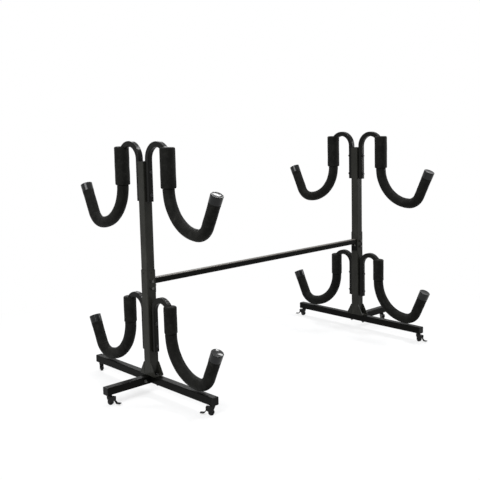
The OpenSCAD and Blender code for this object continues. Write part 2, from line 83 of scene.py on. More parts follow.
def body_of_level(level, side_name):
    """The upper arms ride on the upright of their side, the lower ones stay with the frame."""
    return "frame" if level == "lower" else side_name + "_mast"


# ---------- Materials ----------
class Shader:
    """A principled material whose colour, roughness and bump come from nodes."""

    def __init__(self, name, **values):
        self.material = bpy.data.materials.new(name)
        self.material.use_nodes = True
        self.tree = self.material.node_tree
        self.tree.nodes.clear()
        self.bsdf = self.node("ShaderNodeBsdfPrincipled")
        out = self.node("ShaderNodeOutputMaterial")
        self.tree.links.new(self.bsdf.outputs["BSDF"], out.inputs["Surface"])
        self.at = self.node("ShaderNodeTexCoord").outputs["Object"]
        self.set(self.bsdf, **values)

    def node(self, kind, **props):
        made = self.tree.nodes.new(kind)
        for key, value in props.items():
            setattr(made, key, value)
        return made

    def set(self, node, **values):
        for key, value in values.items():
            self.feed(node.inputs[key.replace("_", " ")], value)

    def feed(self, socket, value):
        if isinstance(value, bpy.types.NodeSocket):
            self.tree.links.new(value, socket)
        elif hasattr(value, "__len__") and len(value) == 3 and socket.type == "RGBA":
            socket.default_value = (*value, 1)
        else:
            socket.default_value = value

    def noise(self, scale, detail=3, rough=0.5, stretch=None, distortion=0.0):
        n = self.node("ShaderNodeTexNoise")
        where = self.at
        if stretch:
            mapping = self.node("ShaderNodeMapping")
            self.feed(mapping.inputs["Vector"], self.at)
            mapping.inputs["Scale"].default_value = stretch
            where = mapping.outputs["Vector"]
        self.feed(n.inputs["Vector"], where)
        n.inputs["Scale"].default_value = scale
        n.inputs["Detail"].default_value = detail
        n.inputs["Roughness"].default_value = rough
        n.inputs["Distortion"].default_value = distortion
        return n.outputs["Fac"]

    def cells(self, scale):
        v = self.node("ShaderNodeTexVoronoi")
        self.feed(v.inputs["Vector"], self.at)
        v.inputs["Scale"].default_value = scale
        return v.outputs["Distance"]

    def span(self, fac, low, high, to_low=0.0, to_high=1.0):
        m = self.node("ShaderNodeMapRange")
        m.clamp = True
        self.feed(m.inputs["Value"], fac)
        for key, value in (("From Min", low), ("From Max", high), ("To Min", to_low), ("To Max", to_high)):
            m.inputs[key].default_value = value
        return m.outputs["Result"]

    def math(self, op, a, b):
        m = self.node("ShaderNodeMath", operation=op)
        self.feed(m.inputs[0], a)
        self.feed(m.inputs[1], b)
        return m.outputs[0]

    def mix(self, fac, a, b):
        m = self.node("ShaderNodeMix", data_type="RGBA")
        self.feed(m.inputs["Factor"], fac)
        self.feed(m.inputs[6], a)
        self.feed(m.inputs[7], b)
        return m.outputs[2]

    def rounded(self, radius):
        b = self.node("ShaderNodeBevel")
        b.samples = 4
        b.inputs["Radius"].default_value = radius
        return b.outputs["Normal"]

    def edges(self, radius=0.0012):
        """One on the edges that rub, zero on the flats."""
        geometry = self.node("ShaderNodeNewGeometry")
        dot = self.node("ShaderNodeVectorMath", operation="DOT_PRODUCT")
        self.feed(dot.inputs[0], self.rounded(radius))
        self.feed(dot.inputs[1], geometry.outputs["Normal"])
        return self.span(self.math("SUBTRACT", 1.0, dot.outputs["Value"]), 0.02, 0.25)

    def upward(self):
        """One on the faces that look up, zero on the upright ones; it places the coating's painted highlight
        on tops.
        """
        geometry = self.node("ShaderNodeNewGeometry")
        split = self.node("ShaderNodeSeparateXYZ")
        self.feed(split.inputs[0], geometry.outputs["Normal"])
        return self.span(split.outputs["Z"], 0.2, 0.7)

    def bump(self, layers, normal=None):
        """layers is a list of (height, strength, distance), coarse to fine."""
        for height, strength, distance in layers:
            b = self.node("ShaderNodeBump")
            b.inputs["Strength"].default_value = strength
            b.inputs["Distance"].default_value = distance
            self.feed(b.inputs["Height"], height)
            if normal is not None:
                self.feed(b.inputs["Normal"], normal)
            normal = b.outputs["Normal"]
        self.feed(self.bsdf.inputs["Normal"], normal)


def powder_coat(name, depth, gloss, painted_top_light=0.0):
    """Black coating; depth scales its colour, gloss its shine, and the last argument the strength of a
    lighter grey painted on faces that look up, a painted highlight of light falling on the tops.
    """
    s = Shader(name, IOR=1.5, Specular_IOR_Level=0.05 * gloss)
    worn = s.math("MULTIPLY", s.edges(), s.span(s.noise(55, 4, 0.6), 0.5, 0.72))
    dark, light, dusty = [tuple(depth * v for v in c) for c in (
        (0.0150, 0.0150, 0.0125), (0.0250, 0.0250, 0.0210), (0.0350, 0.0350, 0.0300))]
    paint = s.mix(s.span(s.noise(9, 4, 0.6), 0.3, 0.7), dark, light)
    rubbed = s.mix(s.span(s.noise(31, 5, 0.65, stretch=(1, 1, 0.25)), 0.54, 0.8), paint, dusty)
    finish = s.mix(worn, rubbed, (0.08, 0.08, 0.075))
    # Painted highlight: faces that look up turn a lighter grey, standing in for light falling on the tops.
    if painted_top_light:
        top_light_mask = s.math("MULTIPLY", s.upward(), s.span(s.noise(14, 4, 0.6), 0.2, 0.7, 0.7, 1.0))
        finish = s.mix(top_light_mask, finish, (painted_top_light, 0.93 * painted_top_light, 0.84 * painted_top_light))
    s.set(s.bsdf, Base_Color=finish)
    s.set(s.bsdf, Roughness=s.span(s.noise(22, 4, 0.6), 0.3, 0.75, 0.30, 0.44))
    s.bsdf.inputs["Coat Weight"].default_value = 0.12 * gloss
    s.bsdf.inputs["Coat Roughness"].default_value = 0.12
    s.bump([(s.noise(620, 2, 0.5), 0.22, 0.00035), (s.noise(1900, 2, 0.5), 0.12, 0.0001)], s.rounded(0.0007))
    return s.material


def foam():
    """Skin of the sleeves, faintly chalky where it is rubbed."""
    s = Shader("foam_skin", IOR=1.42, Specular_IOR_Level=0.09)
    tone = s.mix(s.span(s.noise(11, 4, 0.6), 0.3, 0.7), (0.0024, 0.0024, 0.0021), (0.0080, 0.0080, 0.0069))
    bloom = s.span(s.noise(46, 5, 0.7, distortion=0.6), 0.50, 0.80)
    s.set(s.bsdf, Base_Color=s.mix(bloom, tone, (0.0170, 0.0170, 0.0150)))
    s.set(s.bsdf, Roughness=s.span(s.noise(60, 4), 0.3, 0.7, 0.58, 0.76))
    s.bsdf.inputs["Sheen Weight"].default_value = 0.03
    s.bsdf.inputs["Sheen Roughness"].default_value = 0.5
    s.bsdf.inputs["Sheen Tint"].default_value = (0.5, 0.5, 0.48, 1)
    s.bump([
        (s.noise(34, 4, 0.55), 0.3, 0.0024),
        (s.cells(1500), 0.18, 0.0002),
        (s.noise(3200, 2, 0.6), 0.15, 0.0001),
    ])
    return s.material


def foam_cut():
    """The open-celled end of a sleeve."""
    s = Shader("foam_cut", IOR=1.42, Specular_IOR_Level=0.1)
    s.set(s.bsdf, Base_Color=s.mix(s.cells(1300), (0.004, 0.004, 0.0038), (0.016, 0.016, 0.015)))
    s.set(s.bsdf, Roughness=s.span(s.noise(90), 0.3, 0.7, 0.86, 1.0))
    s.bump([(s.cells(1300), 0.8, 0.0006), (s.noise(3000, 2), 0.3, 0.0002)])
    return s.material


def cap_gloss():
    """Shiny plastic of the tip caps, with turning scratches."""
    s = Shader("cap_gloss", IOR=1.49, Specular_IOR_Level=0.15)
    worn = s.math("MULTIPLY", s.edges(0.0009), s.span(s.noise(70, 3), 0.52, 0.7))
    shade = s.mix(s.noise(18, 3), (0.0035, 0.0042, 0.0042), (0.0065, 0.0075, 0.0075))
    s.set(s.bsdf, Base_Color=s.mix(worn, shade, (0.04, 0.04, 0.041)))
    scratch = s.span(s.noise(160, 4, 0.7, stretch=(1, 0.12, 1)), 0.5, 0.8, 0.13, 0.3)
    s.set(s.bsdf, Roughness=scratch)
    s.bsdf.inputs["Coat Weight"].default_value = 0.22
    s.bsdf.inputs["Coat Roughness"].default_value = 0.05
    s.bump([(s.noise(85, 2), 0.12, 0.0006), (s.noise(900, 2), 0.05, 0.0001)], s.rounded(0.0006))
    return s.material


def cap_plastic():
    """Dull, grained plastic of the square caps and plugs."""
    s = Shader("cap_plastic", IOR=1.48, Specular_IOR_Level=0.1)
    worn = s.math("MULTIPLY", s.edges(), s.span(s.noise(60, 3), 0.5, 0.7))
    shade = s.mix(s.noise(26, 3), (0.0040, 0.0040, 0.0038), (0.0085, 0.0085, 0.0080))
    s.set(s.bsdf, Base_Color=s.mix(worn, shade, (0.04, 0.04, 0.041)))
    s.set(s.bsdf, Roughness=s.span(s.noise(120, 4), 0.3, 0.7, 0.4, 0.56))
    s.bump([(s.cells(2200), 0.22, 0.00012), (s.noise(500, 2), 0.1, 0.0002)], s.rounded(0.0008))
    return s.material


def zinc():
    """Dulled plating of the frame's bolts and clamp screws."""
    s = Shader("zinc", Metallic=1.0)
    tint = s.mix(s.noise(130, 3), (0.060, 0.062, 0.065), (0.110, 0.107, 0.098))
    s.set(s.bsdf, Base_Color=s.mix(s.span(s.noise(300, 4, 0.7), 0.55, 0.8), tint, (0.045, 0.045, 0.046)))
    s.set(s.bsdf, Roughness=s.span(s.noise(420, 4, 0.6), 0.3, 0.7, 0.26, 0.48))
    s.bump([(s.noise(1500, 3), 0.18, 0.00008)], s.rounded(0.0003))
    return s.material


def black_bolt():
    """Blackened bolts of the arms."""
    s = Shader("black_bolt", Metallic=0.65)
    worn = s.math("MULTIPLY", s.edges(0.0006), s.span(s.noise(210, 3), 0.42, 0.66))
    shade = s.mix(s.noise(180, 3), (0.012, 0.012, 0.013), (0.026, 0.026, 0.027))
    s.set(s.bsdf, Base_Color=s.mix(worn, shade, (0.16, 0.16, 0.16)))
    s.set(s.bsdf, Roughness=s.span(s.noise(330, 4), 0.3, 0.7, 0.3, 0.5))
    s.bump([(s.noise(1700, 3), 0.2, 0.00008)], s.rounded(0.0003))
    return s.material


def caster_steel():
    """Black pressed steel of the casters, bare on its edges."""
    s = Shader("caster_steel", Metallic=0.35, IOR=1.45, Specular_IOR_Level=0.2)
    worn = s.math("MULTIPLY", s.edges(0.0008), s.span(s.noise(170, 3), 0.46, 0.68))
    shade = s.mix(s.noise(95, 4, 0.65), (0.006, 0.006, 0.006), (0.016, 0.0155, 0.015))
    s.set(s.bsdf, Base_Color=s.mix(worn, shade, (0.16, 0.155, 0.15)))
    s.set(s.bsdf, Roughness=s.span(s.noise(260, 4), 0.3, 0.7, 0.26, 0.46))
    s.bump([(s.noise(800, 3), 0.2, 0.0001)], s.rounded(0.0005))
    return s.material


def wheel_tread():
    """Hard rubber of the wheels, scuffed grey."""
    s = Shader("wheel_tread", IOR=1.5, Specular_IOR_Level=0.14)
    scuff = s.span(s.noise(210, 5, 0.7), 0.5, 0.75)
    s.set(s.bsdf, Base_Color=s.mix(scuff, (0.006, 0.006, 0.006), (0.022, 0.021, 0.02)))
    s.set(s.bsdf, Roughness=s.span(s.noise(150, 4), 0.3, 0.7, 0.45, 0.72))
    s.bump([(s.noise(700, 3), 0.25, 0.00015)], s.rounded(0.0007))
    return s.material


def brake_plastic():
    """Plastic of the brake levers."""
    s = Shader("brake_plastic", IOR=1.49, Specular_IOR_Level=0.08)
    worn = s.math("MULTIPLY", s.edges(0.0008), s.span(s.noise(150, 3), 0.46, 0.66))
    shade = s.mix(s.noise(60, 3), (0.0035, 0.0035, 0.0035), (0.008, 0.008, 0.008))
    s.set(s.bsdf, Base_Color=s.mix(worn, shade, (0.04, 0.04, 0.04)))
    s.set(s.bsdf, Roughness=s.span(s.noise(240, 4), 0.3, 0.7, 0.36, 0.5))
    s.bump([(s.noise(1100, 2), 0.12, 0.0001)], s.rounded(0.0006))
    return s.material


MATERIALS = {
    "powder_coat": powder_coat("powder_coat", 1.0, 1.0),
    "foam": foam(),
    "cap_gloss": cap_gloss(),
    "cap_plastic": cap_plastic(),
    "zinc": zinc(),
    "black_bolt": black_bolt(),
    "caster_steel": caster_steel(),
    "wheel_tread": wheel_tread(),
    "brake_plastic": brake_plastic(),
}
FOAM_CUT = foam_cut()
# Painted shade: a darker, duller copy of the coating for the base tubes and outriggers, standing in for shade
# that falls on them from above.
SHADED_BASE_COAT = powder_coat("powder_coat_base_painted_shade", 0.14, 0.5)
# Painted light and shade: a darker copy of the coating, so the crossbar's sides read shaded, with a painted
# highlight on its top face.
LIT_AND_SHADED_BAR_COAT = powder_coat("powder_coat_bar_painted_light_and_shade", 0.14, 0.5, painted_top_light=0.15)
ARM_COAT = powder_coat("powder_coat_arm", 0.16, 0.95)


# ---------- Meshes ----------
class Shape:
    """Vertices, faces and their material numbers gathered for one mesh."""

    def __init__(self):
        self.verts, self.faces, self.mats = [], [], []

    def grid(self, rings, close_loop=False):
        """Closed rings of equal length joined in order, capped or joined back to the first."""
        n, first = len(rings[0]), len(self.verts)
        for ring in rings:
            self.verts.extend(ring)
        for k in range(len(rings) if close_loop else len(rings) - 1):
            a, b = first + k * n, first + (k + 1) % len(rings) * n
            for i in range(n):
                j = (i + 1) % n
                self.faces.append((a + i, a + j, b + j, b + i))
        if not close_loop:
            last = first + (len(rings) - 1) * n
            self.faces.append(tuple(first + i for i in reversed(range(n))))
            self.faces.append(tuple(last + i for i in range(n)))
        self.mats += [0] * (len(self.faces) - len(self.mats))
        return self

    def move(self, matrix):
        self.verts = [matrix @ Vector(v) for v in self.verts]
        return self

    def join(self, other, matrix=None):
        first = len(self.verts)
        self.verts.extend(other.verts if matrix is None else [matrix @ Vector(v) for v in other.verts])
        self.faces.extend(tuple(first + i for i in f) for f in other.faces)
        self.mats.extend(other.mats)
        return self

    def make(self, name, material, body, slot, sharp=40, extra=None):
        """The mesh as an object on a body, smooth but for edges sharper than an angle in degrees."""
        mesh = bpy.data.meshes.new(name)
        mesh.from_pydata([tuple(v) for v in self.verts], [], self.faces)
        bm = bmesh.new()
        bm.from_mesh(mesh)
        bmesh.ops.recalc_face_normals(bm, faces=bm.faces)
        bm.to_mesh(mesh)
        bm.free()
        mesh.materials.append(material)
        if extra is not None:
            mesh.materials.append(extra)
        mesh.polygons.foreach_set("material_index", self.mats)
        mesh.polygons.foreach_set("use_smooth", [True] * len(mesh.polygons))
        mesh.set_sharp_from_angle(angle=math.radians(sharp))
        mesh.update()
        made = bpy.data.objects.new(name, mesh)
        SCENE.collection.objects.link(made)
        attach(made, body)
        return made


# ---------- Path of the arms ----------
STATION_STEP = 0.0045


def square_radius(theta, half, corner):
    """Distance from the centre of a rounded square to its outline in a direction."""
    c, s = abs(math.cos(theta)), abs(math.sin(theta))
    reach = half / max(c, s)
    x, y = reach * c, reach * s
    flat = half - corner
    if x > flat and y > flat:
        b = (c + s) * flat
        reach = b + math.sqrt(max(0.0, b * b - 2 * flat * flat + corner * corner))
    return reach


def arm_frame(level, side, end):
    """Matrix of an arm's flat drawing: local X away from the upright, local Y up."""
    y = end * (POST_SIDE[level] + ARM_SIDE) / 2
    return Matrix(((0, 0, end, side * SPAN_X), (end, 0, 0, y), (0, 1, 0, ARCH_Z[level]), (0, 0, 0, 1)))


def cradle_line(level):
    """Points, unit tangents and arc lengths along the cradle and the outer leg, then its three lengths."""
    cx, cy = 2 * ARCH_R[level] + CRADLE_R, -INNER_LEG[level]
    turn = math.pi / 2 - LEAN
    wide, tight, leg = CRADLE_R * math.pi / 2, HEEL_R * turn, TIP_LEN[level]
    total = wide + tight + leg
    count = round(total / STATION_STEP)
    out = []
    for k in range(count + 1):
        s = total * k / count
        if s <= wide:
            a = math.pi + s / CRADLE_R
            p, t = (cx + CRADLE_R * math.cos(a), cy + CRADLE_R * math.sin(a)), (-math.sin(a), math.cos(a))
        else:
            hy = cy - CRADLE_R + HEEL_R
            a = 1.5 * math.pi + min(s - wide, tight) / HEEL_R
            p, t = (cx + HEEL_R * math.cos(a), hy + HEEL_R * math.sin(a)), (-math.sin(a), math.cos(a))
            over = s - wide - tight
            if over > 0:
                p = (p[0] + t[0] * over, p[1] + t[1] * over)
        out.append((p, t, s))
    return out, total, wide, tight


def smooth_step(a, b, x):
    """Zero below a, one above b, and an even curve between."""
    x = min(1.0, max(0.0, (x - a) / (b - a)))
    return x * x * (3 - 2 * x)


def ring_at(p, t, radii):
    """One ring across a flat line: the first direction is the line's left, the second is local Z."""
    n = len(radii)
    nx, ny = -t[1], t[0]
    ring = []
    for i, r in enumerate(radii):
        a = 2 * math.pi * i / n
        c, s = r * math.cos(a), r * math.sin(a)
        ring.append((p[0] + nx * c, p[1] + ny * c, s))
    return ring


# ---------- Foam sleeves ----------
AROUND = 56
FILLET, LEG_FILLET = 0.0035, 0.008
BORE_PLAY, CUTTER_PLAY = 0.00012, 0.0003
CREASE_PITCH, CREASE_DEPTH, CREASE_SINK = 0.0165, 0.0014, 0.0012
# A rise, its distance below the end of the sleeve or its cap, and its width
BULGE, BULGE_BACK, BULGE_WIDTH = 0.0009, 0.006, 0.005
DENT, DENT_BACK, DENT_WIDTH = 0.0008, 0.02, 0.014


def end_rounding(s, total, fillet):
    """How much the radius drops near either end of a sleeve."""
    d = min(s, total - s)
    if d >= fillet:
        return 0.0
    return fillet - math.sqrt(max(0.0, fillet * fillet - (fillet - d) ** 2))


def refine_ends(values, total, fillet):
    """Adds closely spaced stations at both ends of a line for the rounded rims."""
    extra = [fillet * k / 6 for k in range(1, 7)]
    keep = [v for v in values if fillet < v < total - fillet]
    return sorted([0.0, total] + extra + [total - e for e in extra] + keep)


def sleeve_noise(seed, p, s, a, size=0.0006):
    """Slight waves of the foam's surface, other ones for each seed."""
    q = Vector((p[0] * 22 + seed * 3.7, p[1] * 22, s * 9)) + Vector((math.cos(a), math.sin(a), 0)) * 0.7
    return size * noise.noise(q) + 0.35 * size * noise.noise(q * 3.1)


def cradle_sleeve(level, side_name, side, end_name, end, seed):
    """Foam round the cradle and outer leg, nipped in under the cap and creased inside the bend."""
    line, total, wide, tight = cradle_line(level)
    stations = {round(s, 6): (p, t) for p, t, s in line}

    def at(s):
        near = min(stations, key=lambda v: abs(v - s))
        p, t = stations[near]
        return (p[0] + t[0] * (s - near), p[1] + t[1] * (s - near)), t

    rim = total - CAP_DEPTH
    marks = refine_ends(sorted(stations), total, FILLET)
    marks = sorted(set(marks + [rim - 0.012 + 0.0015 * k for k in range(10)]))
    outer, inner = [], []
    for s in marks:
        p, t = at(s)
        radii, bore = [], []
        for i in range(AROUND):
            a = 2 * math.pi * i / AROUND
            r = PAD_D / 2 - end_rounding(s, total, FILLET)
            free = 1 - smooth_step(rim - 0.004, rim + 0.001, s)
            r += free * (sleeve_noise(seed, p, s, a) - 0.0002)
            r -= (1 - free) * 0.0003
            r += BULGE * math.exp(-((s - rim + BULGE_BACK) / BULGE_WIDTH) ** 2)
            inside = max(0.0, math.cos(a)) ** 2
            bend = smooth_step(wide - 0.01, wide + 0.02, s)
            bend *= 1 - smooth_step(wide + tight - 0.02, wide + tight + 0.01, s)
            crease = math.sin(2 * math.pi * (s - wide) / CREASE_PITCH + 0.7 * math.sin(seed + 2.1 * a))
            r += free * inside * bend * (CREASE_DEPTH * crease - CREASE_SINK)
            radii.append(r)
            bore.append(square_radius(a, ARM_SIDE / 2, ARM_CORNER) + BORE_PLAY)
        outer.append(ring_at(p, t, radii))
        inner.append(ring_at(p, t, bore))
    shape = Shape()
    n, m = AROUND, len(outer)
    for ring in outer + inner:
        shape.verts.extend(ring)
    for k in range(m - 1):
        for i in range(n):
            j = (i + 1) % n
            a, b = k * n, (k + 1) * n
            shape.faces.append((a + i, b + i, b + j, a + j))
            shape.faces.append((m * n + a + i, m * n + a + j, m * n + b + j, m * n + b + i))
            shape.mats += [0, 0]
    for k in (0, m - 1):
        for i in range(n):
            j = (i + 1) % n
            shape.faces.append((k * n + i, k * n + j, (m + k) * n + j, (m + k) * n + i))
            shape.mats.append(1)
    shape.move(arm_frame(level, side, end))
    name = f"{level}_{side_name}_{end_name}_cradle_sleeve"
    body = body_of_level(level, side_name)
    made = shape.make(name, MATERIALS["foam"], body, "foam", sharp=50, extra=FOAM_CUT)
    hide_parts(f"{level}_{side_name}_{end_name}_cradle_pad")


def arch_cutter(level):
    """The arm's outside from below the sleeve to well round the arch."""
    r, leg, n = ARCH_R[level], INNER_LEG[level], 64
    path = [((2 * r, -leg - 0.01), (0, 1)), ((2 * r, -leg * 0.5), (0, 1))]
    for k in range(40):
        a = math.radians(3.2 * k)
        path.append(((r + r * math.cos(a), r * math.sin(a)), (-math.sin(a), math.cos(a))))
    radii = [square_radius(2 * math.pi * i / n, ARM_SIDE / 2, ARM_CORNER) + CUTTER_PLAY for i in range(n)]
    return Shape().grid([ring_at(p, t, radii) for p, t in path])


def leg_sleeve(level, side_name, side, end_name, end, seed):
    """Straight sleeve whose top the arch grows out of."""
    r0, low, high = LEG_PAD_D[level] / 2, -INNER_LEG[level], LEG_PAD_RISE[level]
    total = high - low
    marks = refine_ends([total * k / 40 for k in range(41)], total, LEG_FILLET)
    rings = []
    for s in marks:
        radii = []
        for i in range(AROUND):
            a = 2 * math.pi * i / AROUND
            dent = DENT * math.exp(-((s - total + DENT_BACK) / DENT_WIDTH) ** 2) * max(0.0, math.cos(a))
            radii.append(r0 - end_rounding(s, total, LEG_FILLET)
                         + sleeve_noise(seed + 40, (0.2, s), s, a, 0.0007) - 0.0003 + dent)
        rings.append(ring_at((2 * ARCH_R[level], low + s), (0, 1), radii))
    place = arm_frame(level, side, end)
    body = body_of_level(level, side_name)
    name = f"{level}_{side_name}_{end_name}_leg_sleeve"
    made = Shape().grid(rings).move(place).make(name, MATERIALS["foam"], body, "foam")
    cutter = arch_cutter(level).move(place).make("cutter", FOAM_CUT, body, "foam")
    cut = made.modifiers.new("cut", "BOOLEAN")
    cut.operation, cut.solver, cut.object = "DIFFERENCE", "EXACT", cutter
    bpy.context.view_layer.update()
    mesh = bpy.data.meshes.new_from_object(made.evaluated_get(bpy.context.evaluated_depsgraph_get()))
    made.modifiers.clear()
    old = made.data
    made.data = mesh
    mesh.name = name
    bpy.data.meshes.remove(old)
    bpy.data.objects.remove(cutter)
    mesh.polygons.foreach_set("use_smooth", [True] * len(mesh.polygons))
    mesh.set_sharp_from_angle(angle=math.radians(38))
    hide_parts("lower_leg_pads" if level == "lower" else f"upper_{side_name}_leg_pads")


seed = 0
for level in LEVELS:
    for side_name, side in SIDES:
        for end_name, end in ENDS:
            seed += 1
            cradle_sleeve(level, side_name, side, end_name, end, seed)
            leg_sleeve(level, side_name, side, end_name, end, seed)


# ---------- Tip caps ----------
def circle(r, z, n):
    """Points round the Z axis at a height."""
    return [(r * math.cos(2 * math.pi * i / n), r * math.sin(2 * math.pi * i / n), z) for i in range(n)]


def tip_cap_shape():
    """Moulded cap turned about its axis: thin skirt, rolled rim and a face that sinks to its middle."""
    inside = PAD_D / 2
    rim = inside + CAP_WALL
    roll, lip, sink, taper = CAP_FACE * 0.6, 0.0012, CAP_FACE * 0.5, 0.0004
    prof = [(inside, -CAP_DEPTH + taper), (inside + taper, -CAP_DEPTH), (rim - 2 * taper, -CAP_DEPTH),
            (rim - taper, -CAP_DEPTH + 0.0006)]
    for k in range(13):
        f = k / 12
        prof.append((rim - taper * (1 - f), -CAP_DEPTH + 0.002 + (CAP_DEPTH + 0.001) * f))
    for k in range(11):
        a = math.radians(9 * k)
        prof.append((rim - roll + roll * math.cos(a), CAP_FACE - roll + roll * math.sin(a)))
    edge = rim - roll - 0.0008
    for k in range(1, 7):
        a = math.radians(90 + 11 * k)
        prof.append((edge + lip * math.cos(a), CAP_FACE - lip + lip * math.sin(a)))
    start, height = prof[-1]
    for k in range(1, 19):
        f = 1 - k / 19
        prof.append((start * f, CAP_FACE - sink + (height - CAP_FACE + sink) * f * f))
    prof += [(0.0003, CAP_FACE - sink), (0.0003, 0.0004), (inside, 0.0)]
    return Shape().grid([circle(r, z, 72) for r, z in prof], close_loop=True)


def tip_place(level, side, end):
    """Matrix that puts local Z along the outer leg, at the tube's end."""
    (px, py), (tx, ty), _ = cradle_line(level)[0][-1]
    flat = Matrix(((0, ty, tx, px), (0, -tx, ty, py), (1, 0, 0, 0), (0, 0, 0, 1)))
    return arm_frame(level, side, end) @ flat


for level in LEVELS:
    groups = {}
    for side_name, side in SIDES:
        for _, end in ENDS:
            key = "lower" if level == "lower" else "upper_" + side_name
            groups.setdefault(key, (Shape(), side_name))[0].join(tip_cap_shape(), tip_place(level, side, end))
    for key, (shape, side_name) in groups.items():
        body = body_of_level(level, side_name)
        made = shape.make(f"detailed_{key}_tip_caps", MATERIALS["cap_gloss"], body, "cap_gloss", sharp=35)
        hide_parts(key + "_tip_caps")


# ---------- Fasteners ----------
def hexagon_head(af, h, bore=0.0, both=False):
    """Hexagon with its corners turned off at 30 degrees, at one end or at both."""
    n = 72
    chamfer = af / 2 * 0.96
    cut = math.tan(math.radians(30))
    low, high = [], []
    for i in range(n):
        a = 2 * math.pi * i / n
        r = (af / 2) / math.cos((a + math.pi / 6) % (math.pi / 3) - math.pi / 6)
        x, y, drop = r * math.cos(a), r * math.sin(a), (r - chamfer) * cut
        low.append((x, y, drop if both else 0.0))
        high.append((x, y, h - drop))
    rings = [circle(chamfer, 0.0, n)] if both else []
    rings += [low, high, circle(chamfer, h, n)]
    if bore:
        rings = [circle(bore, 0.0, n)] + rings + [circle(bore, h, n)]
        return Shape().grid(rings, close_loop=True)
    return Shape().grid(rings)


def washer(d, t, bore):
    """Flat ring with softened outer edges."""
    soft = t * 0.25
    prof = [(bore, 0), (d / 2 - soft, 0), (d / 2, soft), (d / 2, t - soft), (d / 2 - soft, t), (bore, t)]
    return Shape().grid([circle(r, z, 48) for r, z in prof], close_loop=True)


def threaded(d, z0, z1, pitch):
    """Threaded end of a screw with a tapered lead."""
    n, steps = 40, max(6, round((z1 - z0) / pitch * 8))
    rings = []
    for k in range(steps + 1):
        z = z0 + (z1 - z0) * k / steps
        lead = max(0.0, (z - (z1 - pitch)) / pitch) * pitch * 0.6
        ring = []
        for i in range(n):
            a = 2 * math.pi * i / n
            phase = (z / pitch - a / (2 * math.pi)) % 1.0
            depth = pitch * 0.5 * (1 - abs(2 * phase - 1))
            r = d / 2 - max(depth, lead)
            ring.append((r * math.cos(a), r * math.sin(a), z))
        rings.append(ring)
    return Shape().grid(rings)


def spin(turn):
    return Matrix.Rotation(turn, 4, "Z")


def lift(z):
    return Matrix.Translation((0, 0, z))


def bolt(grip, turn):
    """Head, washers, nut and threaded end, clamping grip along +Z."""
    s = Shape()
    seat = grip + WASHER_T
    over = Matrix.Rotation(math.pi, 4, "X")
    s.join(hexagon_head(HEX_AF, HEAD_H), lift(-WASHER_T) @ over @ spin(turn))
    for z in (-WASHER_T, grip):
        s.join(washer(WASHER_D, WASHER_T, BOLT_D / 2), lift(z))
    s.join(hexagon_head(HEX_AF, NUT_H, NUT_BORE, both=True), lift(seat) @ spin(turn * 1.7))
    s.join(threaded(BOLT_D, seat, seat + NUT_H + BOLT_END, THREAD_PITCH))
    return s


def facing(point, direction):
    """Matrix that puts local Z along a direction at a point."""
    z = Vector(direction).normalized()
    x = Vector((0, 0, 1)).cross(z) if abs(z.z) < 0.9 else Vector((1, 0, 0))
    x.normalize()
    y = z.cross(x)
    m = Matrix((x, y, z)).transposed().to_4x4()
    m.translation = Vector(point)
    return m


def turned(k):
    """How far the k-th hexagon is turned: each one differently, within a flat's sixth of a turn."""
    return (k * 2.399) % (math.pi / 3)


bolts = Shape()
count = 0
for _, side in SIDES:
    for _, end in ENDS:
        count += 1
        at = facing((side * SPAN_X, end * FOOT_BOLT_OUT, FOOT_TOP), (0, 0, -1))
        bolts.join(bolt(FOOT_T + BASE_SIDE, turned(count)), at)
    count += 1
    at = facing((side * (SPAN_X + LEG_BOLT_OUT), -BASE_SIDE / 2, BASE_MID), (0, 1, 0))
    bolts.join(bolt(BASE_SIDE, turned(count)), at)
    stud_z = CROSSBAR_Z - CROSSBAR_SIDE / 2 - HEX_AF / 2 - STUD_D
    for y in (-1, 1):
        count += 1
        nut = hexagon_head(STUD_AF, STUD_NUT_H, STUD_BORE, both=True)
        stud = Shape().join(nut, lift(END_PLATE_T) @ spin(turned(count)))
        stud.join(threaded(STUD_D, END_PLATE_T, END_PLATE_T + STUD_NUT_H + STUD_END, STUD_THREAD))
        bolts.join(stud, facing((side * POST_FACE, y * STUD_PITCH / 2, stud_z), (-side, 0, 0)))
made = bolts.make("detailed_frame_bolts", MATERIALS["zinc"], "frame", "zinc", sharp=25)
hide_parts("frame_bolts")


def clamp_place(side, k):
    """Matrix of the k-th clamp screw on the front of a lower upright."""
    z = POST_TOP - CLAMP_DROP - k * CLAMP_PITCH
    return facing((side * SPAN_X, -POST_SIDE["lower"] / 2, z), (0, -1, 0))


screws = Shape()
for _, side in SIDES:
    for k in range(2):
        screw = Shape().join(hexagon_head(HEX_AF, NUT_H, NUT_BORE))
        screw.join(hexagon_head(HEX_AF, HEAD_H), lift(NUT_H) @ spin(turned(k + side + 3)))
        screws.join(screw, clamp_place(side, k))
made = screws.make("detailed_clamp_screws", MATERIALS["zinc"], "frame", "zinc", sharp=25)
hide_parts("clamp_screws")

for level in LEVELS:
    groups = {}
    for side_name, side in SIDES:
        grip = POST_SIDE[level] + 2 * ARM_SIDE
        for k in range(2):
            count += 1
            at = facing((side * SPAN_X, -grip / 2, ARCH_Z[level] - BOLT_TOP - k * BOLT_PITCH), (0, 1, 0))
            node = "lower_arm_bolts" if level == "lower" else f"upper_{side_name}_arm_bolts"
            body = body_of_level(level, side_name)
            groups.setdefault(node, (Shape(), body))[0].join(bolt(grip, turned(count)), at)
    for node, (shape, body) in groups.items():
        made = shape.make("detailed_" + node, MATERIALS["black_bolt"], body, "black_bolt", sharp=25)
        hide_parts(node)


# ---------- Crossbar ----------
def bar_ring(x, half, low, high):
    """Points round a rounded rectangle that stands across the bar."""
    ring = []
    for side, start in ((1, 0), (-1, 90), (-1, 180), (1, 270)):
        rise = high - BAR_CORNER if start < 180 else low + BAR_CORNER
        for k in range(5):
            a = math.radians(start + 22.5 * k)
            y = side * (half - BAR_CORNER) + BAR_CORNER * math.cos(a)
            ring.append((x, y, rise + BAR_CORNER * math.sin(a)))
    return ring


